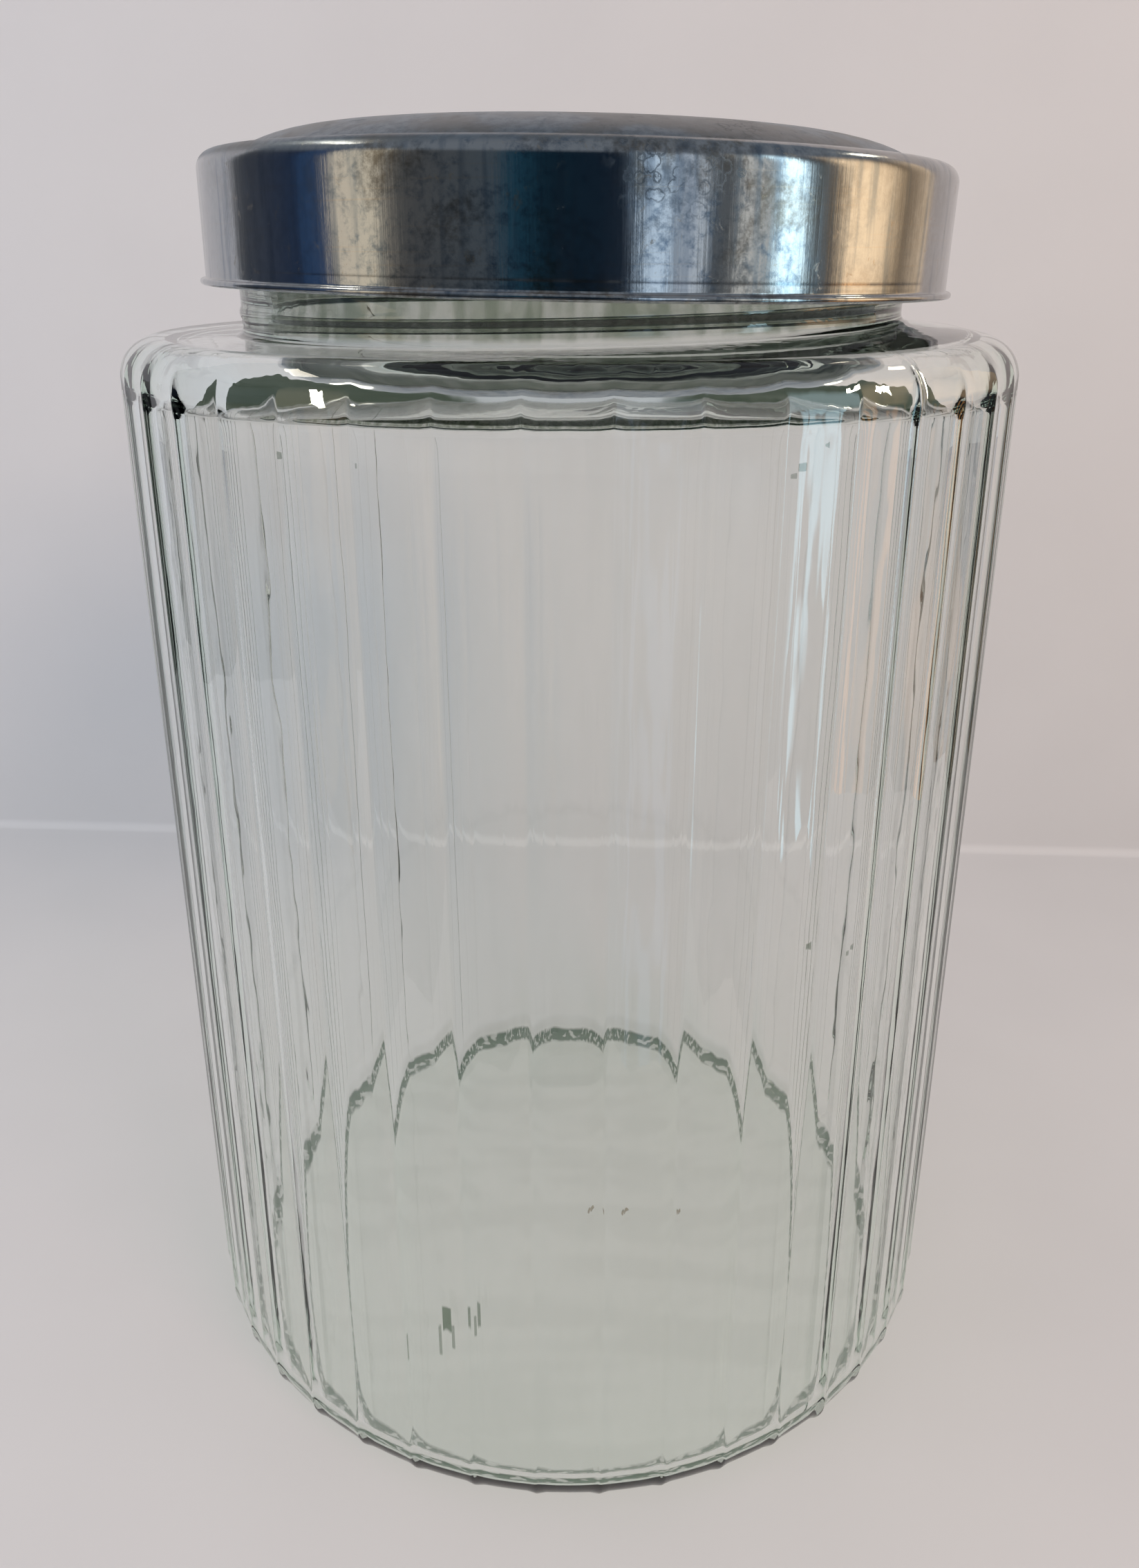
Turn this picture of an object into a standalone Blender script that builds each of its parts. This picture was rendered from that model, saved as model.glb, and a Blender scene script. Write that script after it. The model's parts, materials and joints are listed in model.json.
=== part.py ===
# Large ribbed glass storage jar with a slip-on pressed metal lid.
# Metres, +Z up. The origin is the middle of the base, on the surface the jar stands on.
# Angles round the jar are measured from the front (-Y) towards the right (+X).

import math

import bmesh
import bpy

# Glass body
BODY_RADIUS_BASE = 0.0977        # over the ribs, carried down to the base plane
BODY_RADIUS_TOP = 0.0947         # over the ribs, at the top of the wall
WALL_TOP = 0.2400                # where the shoulder starts to turn in
WALL_THICKNESS = 0.005
BASE_THICKNESS = 0.005
HEEL_RADIUS = 0.012              # rounding outside, where the wall meets the base
INNER_HEEL = 0.007               # and inside
INNER_CORNER = 0.006             # inside rounding under the shoulder
PUSH_UP_RADIUS = 0.070           # shallow hollow under the base
PUSH_UP_HEIGHT = 0.002
PUSH_UP_SLOPE = 0.006            # width of the hollow's sloping edge

# Flat vertical panels that meet in ribs
PANEL_COUNT = 42
PANEL_DEPTH = 0.0009
FIRST_RIB_ANGLE = 4.1
PANEL_ARCH_TOP = 0.2440
PANEL_ARCH_RISE = 0.006
PANEL_ARCH_FADE = 0.003
SEAM_RIB = 4                     # this rib and the one opposite it lie on the mould's joint
SEAM_HEIGHT = 0.0005

# Shoulder and neck
SHOULDER_RADIUS = 0.008
NECK_LEAN = 0.0014               # the foot of the neck is higher on the right than on the left
NECK_SHIFT = 0.0004              # the neck stands a little to the right of the body
NECK_FOOT = 0.2490
NECK_RADIUS = 0.0700
NECK_RING_HEIGHT = 0.2535
NECK_RING_HALF = 0.0012
NECK_RING_RISE = 0.0004
RIM_TOP = 0.2780
RIM_BEAD_RADIUS = 0.0735
RIM_BEAD_HEIGHT = 0.0045
RIM_EDGE = 0.0015                # rounding of the rim, inside and out
MOUTH_RADIUS = 0.0655

# Lid, in its own frame with the lower edge of its rolled bead at zero
LID_PLACE = (0.00135, 0.0, 0.2562)
LID_TILT = 1.04                  # degrees, right side low
LID_SIDES = 60
LID_SHEET = 0.0006
LID_SKIRT_RADIUS = 0.0773
LID_BEAD_RADIUS = 0.0784
LID_BEAD_HEIGHT = 0.0013
LID_HEIGHT = 0.0242
LID_CORNER = 0.0034
DOME_RADIUS = 0.0695
DOME_HEIGHT = 0.0056
DOME_POWER = 7.5
BULGE_PLACE = (0.020, 0.004)     # the dome stands higher on the right
BULGE_SIZE = (0.026, 0.030)
BULGE_HEIGHT = 0.0012
DENT_PLACE = (0.006, -0.012)
DENT_SIZE = (0.026, 0.020)
DENT_DEPTH = 0.0022

GLASS_COLOUR = (0.80, 0.85, 0.80, 1.0)
METAL_COLOUR = (0.42, 0.43, 0.45, 1.0)

ribStep = 360.0 / PANEL_COUNT
fineSlots = (0.0, 0.22, 0.5, 0.78)
plainSlots = (0.0, 0.5)


def clearScene():
    for item in list(bpy.data.objects):
        bpy.data.objects.remove(item)


def makeMaterial(name, colour, roughness, metallic):
    material = bpy.data.materials.new(name)
    material.use_nodes = True
    shader = material.node_tree.nodes["Principled BSDF"]
    shader.inputs["Base Color"].default_value = colour
    shader.inputs["Roughness"].default_value = roughness
    shader.inputs["Metallic"].default_value = metallic
    return material


def wallRadius(height):
    return BODY_RADIUS_BASE + (BODY_RADIUS_TOP - BODY_RADIUS_BASE) * height / WALL_TOP


def arc(centreRadius, centreHeight, size, start, end, steps):
    # Points on a round stretch of a turned outline, as (radius, height).
    points = []
    for step in range(steps + 1):
        angle = math.radians(start + (end - start) * step / steps)
        points.append((centreRadius + size * math.cos(angle), centreHeight + size * math.sin(angle)))
    return points


def panelRecess(slot, height):
    # How far the glass lies inside the ribs, for a place across a panel (0 to 1) and a height.
    across = abs(2.0 * slot - 1.0)
    shape = 1.0 - across ** 4
    archEnd = PANEL_ARCH_TOP - PANEL_ARCH_RISE * (1.0 - math.sqrt(1.0 - (0.98 * across) ** 2))
    upper = min(1.0, max(0.0, (archEnd - height) / PANEL_ARCH_FADE))
    lower = min(1.0, max(0.0, height / HEEL_RADIUS))
    return PANEL_DEPTH * shape * upper * lower


def seamRise(panel, slot, height):
    # The joint of the mould stands out a little more than the other ribs.
    if slot != 0.0 or panel not in (SEAM_RIB, SEAM_RIB + PANEL_COUNT // 2):
        return 0.0
    return SEAM_HEIGHT * min(1.0, max(0.0, height / HEEL_RADIUS))


def addRing(mesh, slots, radius, height, lean=0.0, shift=0.0, ribbed=False):
    ring = []
    for panel in range(PANEL_COUNT):
        for slot in slots:
            angle = math.radians(FIRST_RIB_ANGLE + ribStep * (panel + slot))
            reach = radius
            if ribbed:
                reach += seamRise(panel, slot, height) - panelRecess(slot, height)
            x = shift + reach * math.sin(angle)
            y = -reach * math.cos(angle)
            z = height + lean * math.sin(angle)
            ring.append(mesh.verts.new((x, y, z)))
    return ring


def joinRings(mesh, lower, upper):
    # Faces between two rings; one ring may have twice as many points as the other.
    count = min(len(lower), len(upper))
    lowerStep = len(lower) // count
    upperStep = len(upper) // count
    for index in range(count):
        corners = [lower[(index * lowerStep + k) % len(lower)] for k in range(lowerStep + 1)]
        top = [upper[(index * upperStep + k) % len(upper)] for k in range(upperStep + 1)]
        mesh.faces.new(corners + top[::-1])


def closeRing(mesh, ring, height, facingUp):
    centre = mesh.verts.new((0.0, 0.0, height))
    for index, vertex in enumerate(ring):
        following = ring[(index + 1) % len(ring)]
        corners = (vertex, following, centre) if facingUp else (following, vertex, centre)
        mesh.faces.new(corners)


def finishObject(name, mesh, material, sharpAngle):
    bmesh.ops.triangulate(mesh, faces=mesh.faces[:])
    data = bpy.data.meshes.new(name)
    mesh.to_mesh(data)
    mesh.free()
    data.materials.append(material)
    data.shade_smooth()
    data.set_sharp_from_angle(angle=math.radians(sharpAngle))
    item = bpy.data.objects.new(name, data)
    bpy.context.scene.collection.objects.link(item)
    return item


def heelRings():
    centreRadius = wallRadius(HEEL_RADIUS) - HEEL_RADIUS
    return arc(centreRadius, HEEL_RADIUS, HEEL_RADIUS, -90.0, 0.0, 4)


def wallRings():
    # The plain wall, then closer rings where the panels' arched ends curve in.
    archFoot = PANEL_ARCH_TOP - PANEL_ARCH_RISE - PANEL_ARCH_FADE
    heights = (archFoot - 0.004, archFoot, (archFoot + WALL_TOP) / 2.0, WALL_TOP)
    return [(wallRadius(height), height) for height in heights]


def shoulderRings():
    centre = BODY_RADIUS_TOP - SHOULDER_RADIUS
    return arc(centre, WALL_TOP, SHOULDER_RADIUS, 22.5, 90.0, 3)


def neckRings():
    fillet = 0.0015
    foot = arc(NECK_RADIUS + fillet, NECK_FOOT + fillet, fillet, 270.0, 180.0, 2)
    ring = [
        (NECK_RADIUS, NECK_RING_HEIGHT - NECK_RING_HALF),
        (NECK_RADIUS + NECK_RING_RISE, NECK_RING_HEIGHT),
        (NECK_RADIUS, NECK_RING_HEIGHT + NECK_RING_HALF),
    ]
    beadFoot = RIM_TOP - RIM_BEAD_HEIGHT
    bead = [(NECK_RADIUS, beadFoot - fillet), (RIM_BEAD_RADIUS, beadFoot)]
    bead += arc(RIM_BEAD_RADIUS - RIM_EDGE, RIM_TOP - RIM_EDGE, RIM_EDGE, 0.0, 90.0, 2)
    return foot + ring + bead


def insideRings():
    # From the mouth down to the floor of the jar.
    neckUnder = NECK_FOOT - WALL_THICKNESS
    cornerHeight = WALL_TOP + SHOULDER_RADIUS - WALL_THICKNESS - INNER_CORNER
    upperRadius = BODY_RADIUS_TOP - PANEL_DEPTH - WALL_THICKNESS
    heelHeight = BASE_THICKNESS + INNER_HEEL
    lowerRadius = wallRadius(heelHeight) - PANEL_DEPTH - WALL_THICKNESS
    rings = arc(MOUTH_RADIUS + RIM_EDGE, RIM_TOP - RIM_EDGE, RIM_EDGE, 90.0, 180.0, 2)
    rings += arc(MOUTH_RADIUS + RIM_EDGE, neckUnder + RIM_EDGE, RIM_EDGE, 180.0, 270.0, 2)
    rings += arc(upperRadius - INNER_CORNER, cornerHeight, INNER_CORNER, 90.0, 0.0, 3)
    rings += arc(lowerRadius - INNER_HEEL, heelHeight, INNER_HEEL, 0.0, -90.0, 3)
    return rings


def makeJar():
    mesh = bmesh.new()
    rings = [addRing(mesh, plainSlots, PUSH_UP_RADIUS - PUSH_UP_SLOPE, PUSH_UP_HEIGHT)]
    closeRing(mesh, rings[0], PUSH_UP_HEIGHT, False)
    rings.append(addRing(mesh, plainSlots, PUSH_UP_RADIUS, 0.0))
    for radius, height in heelRings() + wallRings() + shoulderRings():
        rings.append(addRing(mesh, fineSlots, radius, height, ribbed=True))
    for radius, height in neckRings():
        lean = NECK_LEAN if height <= NECK_RING_HEIGHT + NECK_RING_HALF else 0.0
        rings.append(addRing(mesh, plainSlots, radius, height, lean, NECK_SHIFT))
    for radius, height in insideRings():
        shift = NECK_SHIFT if radius < NECK_RADIUS and height > WALL_TOP else 0.0
        rings.append(addRing(mesh, plainSlots, radius, height, 0.0, shift))
    for lower, upper in zip(rings, rings[1:]):
        joinRings(mesh, lower, upper)
    closeRing(mesh, rings[-1], BASE_THICKNESS, True)
    glass = makeMaterial("jar", GLASS_COLOUR, 0.03, 0.0)
    return finishObject("jar", mesh, glass, 25.0)


def softSpot(x, y, place, size):
    # One in the middle of a round spot, falling smoothly to nothing around it.
    return math.exp(-((x - place[0]) / size[0]) ** 2 - ((y - place[1]) / size[1]) ** 2)


def domeRise(x, y):
    # Height of the lid's top over its flat border, bulged on the right and dented near the middle.
    part = min(1.0, math.hypot(x, y) / DOME_RADIUS)
    rise = DOME_HEIGHT * (1.0 - part ** DOME_POWER)
    rise += BULGE_HEIGHT * softSpot(x, y, BULGE_PLACE, BULGE_SIZE)
    return rise - DENT_DEPTH * softSpot(x, y, DENT_PLACE, DENT_SIZE)


def addLidRing(mesh, radius, height, domed):
    ring = []
    for side in range(LID_SIDES):
        angle = 2.0 * math.pi * side / LID_SIDES
        x = radius * math.sin(angle)
        y = -radius * math.cos(angle)
        rise = domeRise(x, y) if domed else 0.0
        ring.append(mesh.verts.new((x, y, height + rise)))
    return ring


def makeLid():
    mesh = bmesh.new()
    inner = LID_SKIRT_RADIUS - LID_SHEET
    under = LID_HEIGHT - LID_SHEET
    domeRadii = (DOME_RADIUS, 0.066, 0.060, 0.050, 0.037, 0.025, 0.013)

    curl = LID_BEAD_HEIGHT / 2.0
    outside = [(inner, 0.0)]
    outside += arc(LID_BEAD_RADIUS - curl, curl, curl, -90.0, 60.0, 3)
    outside.append((LID_SKIRT_RADIUS, LID_BEAD_HEIGHT))
    outside += arc(LID_SKIRT_RADIUS - LID_CORNER, LID_HEIGHT - LID_CORNER, LID_CORNER, 0.0, 90.0, 3)
    innerCorner = LID_CORNER - LID_SHEET
    inside = arc(inner - innerCorner, under - innerCorner, innerCorner, 90.0, 0.0, 2)

    rings = [addLidRing(mesh, radius, height, False) for radius, height in outside]
    rings += [addLidRing(mesh, radius, LID_HEIGHT, True) for radius in domeRadii]
    for lower, upper in zip(rings, rings[1:]):
        joinRings(mesh, lower, upper)
    closeRing(mesh, rings[-1], LID_HEIGHT + domeRise(0.0, 0.0), True)

    lining = [addLidRing(mesh, radius, under, True) for radius in reversed(domeRadii)]
    lining += [addLidRing(mesh, radius, height, False) for radius, height in inside]
    lining.append(rings[0])
    for lower, upper in zip(lining, lining[1:]):
        joinRings(mesh, lower, upper)
    closeRing(mesh, lining[0], under + domeRise(0.0, 0.0), False)

    metal = makeMaterial("lid", METAL_COLOUR, 0.28, 1.0)
    lid = finishObject("lid", mesh, metal, 35.0)
    lid.location = LID_PLACE
    lid.rotation_euler = (0.0, math.radians(LID_TILT), 0.0)
    return lid


clearScene()
makeJar()
makeLid()
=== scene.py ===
import json
import math

import bmesh
import bpy
from mathutils import Matrix, Vector, noise

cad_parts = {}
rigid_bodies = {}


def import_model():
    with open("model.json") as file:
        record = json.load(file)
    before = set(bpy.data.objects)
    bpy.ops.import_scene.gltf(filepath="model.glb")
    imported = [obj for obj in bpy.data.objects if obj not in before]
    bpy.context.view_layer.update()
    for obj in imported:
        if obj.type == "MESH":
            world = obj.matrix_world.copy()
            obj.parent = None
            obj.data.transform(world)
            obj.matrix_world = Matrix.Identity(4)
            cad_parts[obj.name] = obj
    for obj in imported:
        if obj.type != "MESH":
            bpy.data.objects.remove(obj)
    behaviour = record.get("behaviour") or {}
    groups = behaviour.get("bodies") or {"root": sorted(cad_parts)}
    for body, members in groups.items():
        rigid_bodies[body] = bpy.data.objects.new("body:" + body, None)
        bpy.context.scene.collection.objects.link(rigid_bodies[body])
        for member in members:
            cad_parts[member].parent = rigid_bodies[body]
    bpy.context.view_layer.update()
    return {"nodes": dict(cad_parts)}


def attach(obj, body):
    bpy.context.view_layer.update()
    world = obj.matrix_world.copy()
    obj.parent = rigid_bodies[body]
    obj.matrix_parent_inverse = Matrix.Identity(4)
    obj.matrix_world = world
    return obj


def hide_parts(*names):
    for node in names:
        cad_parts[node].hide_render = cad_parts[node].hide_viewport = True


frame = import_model()
print("frame loaded:", ", ".join(frame["nodes"]))


# small helpers for wiring trees, for meshes and for materials

def feed(tree, socket, value):
    if isinstance(value, bpy.types.NodeSocket):
        tree.links.new(value, socket)
    else:
        socket.default_value = value


def calc(tree, operation, *values, clamp=False):
    node = tree.nodes.new("ShaderNodeMath")
    node.operation = operation
    node.use_clamp = clamp
    for socket, value in zip(node.inputs, values):
        feed(tree, socket, value)
    return node.outputs[0]


def product(tree, *values):
    total = values[-1]
    for value in values[-2::-1]:
        total = calc(tree, "MULTIPLY", value, total)
    return total


def longSide(tree, first, second):
    # the long side of a right-angled triangle, from its two short ones
    squares = calc(tree, "ADD", calc(tree, "POWER", first, 2.0), calc(tree, "POWER", second, 2.0))
    return calc(tree, "SQRT", squares)


def remap(tree, value, low, high, toLow=0.0, toHigh=1.0, smooth=True):
    node = tree.nodes.new("ShaderNodeMapRange")
    node.interpolation_type = "SMOOTHSTEP" if smooth else "LINEAR"
    limits = (("From Min", low), ("From Max", high), ("To Min", toLow), ("To Max", toHigh))
    for name, given in (("Value", value), *limits):
        feed(tree, node.inputs[name], given)
    return node.outputs[0]


def mixColour(tree, amount, first, second, way="MIX"):
    node = tree.nodes.new("ShaderNodeMix")
    node.data_type = "RGBA"
    node.blend_type = way
    feed(tree, node.inputs[0], amount)
    feed(tree, node.inputs[6], first)
    feed(tree, node.inputs[7], second)
    return node.outputs[2]


def arc(centreRadius, centreHeight, size, start, end, steps):
    turn = [math.radians(start + (end - start) * k / steps) for k in range(steps + 1)]
    return [(centreRadius + size * math.cos(a), centreHeight + size * math.sin(a)) for a in turn]


def linkMesh(name, mesh):
    item = bpy.data.objects.new(name, mesh)
    bpy.context.scene.collection.objects.link(item)
    return item


def newMaterial(name):
    material = bpy.data.materials.new(name)
    material.use_nodes = True
    tree = material.node_tree
    return material, tree, tree.nodes["Principled BSDF"]


# camera at the height of the lid, looking down on the jar

view = {
    "place": (0.0, -0.28987, 0.26390),
    "down": 23.278,       # degrees
    "lens": 28.504,
}

camera = bpy.data.objects.new("camera", bpy.data.cameras.new("camera"))
bpy.context.scene.collection.objects.link(camera)
camera.location = view["place"]
camera.rotation_euler = (math.radians(90 - view["down"]), 0, 0)
camera.data.lens = view["lens"]
camera.data.sensor_width = 36
camera.data.clip_start = 0.01
bpy.context.scene.camera = camera
print("camera placed")


# shared effects

def newGroup(name, inputs, outputs):
    group = bpy.data.node_groups.new(name, "ShaderNodeTree")
    for label, kind, value in inputs:
        socket = group.interface.new_socket(name=label, in_out="INPUT", socket_type=kind)
        if value is not None:
            socket.default_value = value
    for label, kind in outputs:
        group.interface.new_socket(name=label, in_out="OUTPUT", socket_type=kind)
    return group, group.nodes.new("NodeGroupInput").outputs, group.nodes.new("NodeGroupOutput").inputs


def place(tree, group, **values):
    node = tree.nodes.new("ShaderNodeGroup")
    node.node_tree = group
    for label, value in values.items():
        feed(tree, node.inputs[label], value)
    return node


def noiseNode(tree, vector, scale, detail=3.0, rough=0.5, warp=0.0):
    node = tree.nodes.new("ShaderNodeTexNoise")
    feed(tree, node.inputs["Vector"], vector)
    for label, value in (("Scale", scale), ("Detail", detail), ("Roughness", rough), ("Distortion", warp)):
        feed(tree, node.inputs[label], value)
    return node.outputs["Fac"]


def stretched(tree, vector, scales):
    node = tree.nodes.new("ShaderNodeVectorMath")
    node.operation = "MULTIPLY"
    feed(tree, node.inputs[0], vector)
    feed(tree, node.inputs[1], scales)
    return node.outputs[0]


def makeStreaks():
    # long soft streaks up and down, as wiping and brushing leave them on sheet
    group, given, out = newGroup("streaks", (
        ("Vector", "NodeSocketVector", None), ("Across", "NodeSocketFloat", 200.0),
        ("Along", "NodeSocketFloat", 10.0), ("From", "NodeSocketFloat", 0.45),
        ("To", "NodeSocketFloat", 0.7), ("Detail", "NodeSocketFloat", 3.0),
    ), (("Mask", "NodeSocketFloat"), ("Height", "NodeSocketFloat")))
    join = group.nodes.new("ShaderNodeCombineXYZ")
    for k, label in enumerate(("Across", "Across", "Along")):
        feed(group, join.inputs[k], given[label])
    value = noiseNode(group, stretched(group, given["Vector"], join.outputs[0]), 1.0, given["Detail"])
    feed(group, out["Mask"], remap(group, value, given["From"], given["To"]))
    feed(group, out["Height"], value)
    return group


def makeStrokes():
    # a row of small marks round the jar, broken up at their edges; the row's colours say what
    # each mark is: red how strong, green how far up from Low to High, blue its half height over Tall
    group, given, out = newGroup("strokes", (
        ("Row", "NodeSocketColor", None), ("Height", "NodeSocketFloat", 0.0),
        ("Rough", "NodeSocketFloat", 0.0), ("Low", "NodeSocketFloat", 0.0),
        ("High", "NodeSocketFloat", 0.1), ("Tall", "NodeSocketFloat", 0.005),
    ), (("Mask", "NodeSocketFloat"),))
    parts = group.nodes.new("ShaderNodeSeparateColor")
    feed(group, parts.inputs[0], given["Row"])
    middle = remap(group, parts.outputs[1], 0.0, 1.0, given["Low"], given["High"], smooth=False)
    off = calc(group, "ABSOLUTE", calc(group, "SUBTRACT", given["Height"], middle))
    off = calc(group, "DIVIDE", off, calc(group, "MULTIPLY", parts.outputs[2], given["Tall"]))
    off = calc(group, "ADD", off, calc(group, "MULTIPLY", given["Rough"], 2.5))
    feed(group, out["Mask"], calc(group, "MULTIPLY", parts.outputs[0], remap(group, off, 1.05, 0.75)))
    return group


streakGroup = makeStreaks()
strokeGroup = makeStrokes()
print("shared effects ready")


# ribbed glass body: one outline turned round, with flat panels let into its outside

jar = {
    "panels": 42,
    "stepsPerPanel": 8,
    "panelDepth": 0.00055,
    "panelFlat": 10.0,        # higher leaves more of each panel plain
    "ribRounding": 0.050,     # share of a panel
    "firstRib": 4.1,          # degrees from the front towards the right
    "archTop": 0.2485,
    "archRise": 0.004,
    "archFade": 0.012,
    "seamRib": 4,             # counted from the first rib, and again half way round
    "seamHeight": 0.00035,
    "seamWidth": 0.06,        # share of a panel
    "radiusBase": 0.0977,
    "radiusTop": 0.0947,
    "wallTop": 0.2400,
    "wall": 0.005,
    "base": 0.005,
    "heel": 0.012,
    "innerHeel": 0.007,
    "footRamp": 0.003,        # height over which the ribs start
    "innerCorner": 0.007,
    "shoulder": 0.008,
    "lean": 0.0014,
    "shift": 0.0004,
    "neck": 0.0700,
    "mouth": 0.0655,
    "rimRounding": 0.0015,
    "unevenness": 0.00022,
    "unevenScale": 55.0,
    "unevenLevel": 0.45,      # the unevenness is longer up and down
    "closeness": 0.000004,    # points nearer than this are made one
    "seed": 3.0,
}


def jarWall(height):
    return jar["radiusBase"] + (jar["radiusTop"] - jar["radiusBase"]) * height / jar["wallTop"]


def jarOutline():
    # rows of (radius, height, ribbed, lean, shift, uneven), once round the section of the glass
    rows = []

    def add(points, ribbed=0.0, lean=0.0, shift=0.0, uneven=0.0):
        rows.extend((radius, height, ribbed, lean, shift, uneven) for radius, height in points)

    def climb(start, end, steps):
        return [start + (end - start) * k / steps for k in range(steps + 1)]

    heel, top, wall = jar["heel"], jar["wallTop"], jar["wall"]
    shift, neck, rim = jar["shift"], jar["neck"], jar["rimRounding"]

    # under the base, up the ribbed wall and over the shoulder
    add([(0, 0.0016), (0.02, 0.0015), (0.04, 0.0012), (0.055, 0.0007)])
    add([(0.066, 0.0003), (0.074, 0.00005), (0.078, 0.0), (0.081, 0.0)])
    add(arc(jarWall(heel) - heel, heel, heel, -90, 0, 12), ribbed=1, uneven=0.3)
    add([(jarWall(z), z) for z in climb(0.016, 0.234, 28)], ribbed=1, uneven=1)
    add([(jarWall(z), z) for z in climb(0.2350, 0.2400, 10)], ribbed=1, uneven=1)
    add(arc(jar["radiusTop"] - jar["shoulder"], top, jar["shoulder"], 5, 90, 16), ribbed=1, uneven=0.5)
    add([(0.083, 0.2482), (0.078, 0.2486)], lean=0.5, shift=shift, uneven=0.5)

    # up the neck with its low ring, over the rim and down the mouth
    add(arc(neck + 0.0017, 0.2507, 0.0017, 270, 180, 6), lean=1, shift=shift)
    lowRing = ((0.0, 0.2522), (0.0003, 0.2529), (0.0004, 0.2535), (0.0003, 0.2541), (0.0, 0.2548))
    add([(neck + out, z) for out, z in lowRing], lean=1, shift=shift)
    add([(neck, z) for z in (0.2580, 0.2650, 0.2715)], lean=0.2, shift=shift)
    add([(0.0712, 0.2728), (0.0728, 0.2735)], shift=shift)
    add(arc(0.0720, 0.2750, rim, -20, 0, 2), shift=shift)
    add(arc(0.0720, 0.2765, rim, 0, 90, 5), shift=shift)
    add(arc(jar["mouth"] + rim, 0.2765, rim, 90, 180, 5), shift=shift)
    add([(jar["mouth"], z) for z in (0.2700, 0.2620, 0.2540, 0.2490)], shift=shift)
    add(arc(jar["mouth"] + 0.0020, 0.2460, 0.0020, 180, 270, 6), shift=shift, uneven=0.5)

    # under the shoulder, down the smooth inside and over the floor
    corner = jar["innerCorner"]
    upper = jar["radiusTop"] - jar["panelDepth"] - wall
    lift = top + jar["shoulder"] - wall - corner
    add([(0.076, lift + corner)], uneven=0.5)
    add(arc(upper - corner, lift, corner, 90, 0, 10), uneven=1)
    inner = jar["innerHeel"]
    foot = jar["base"] + inner
    lowRadius = jarWall(foot) - jar["panelDepth"] - wall
    fall = [k / 28 for k in range(1, 28)]
    add([(upper + (lowRadius - upper) * part, lift + (foot - lift) * part) for part in fall], uneven=1)
    add(arc(lowRadius - inner, foot, inner, 0, -90, 10), uneven=1)
    add([(radius, jar["base"]) for radius in (0.072, 0.062, 0.050, 0.036, 0.020, 0.0)], uneven=0.8)
    return rows


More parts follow.
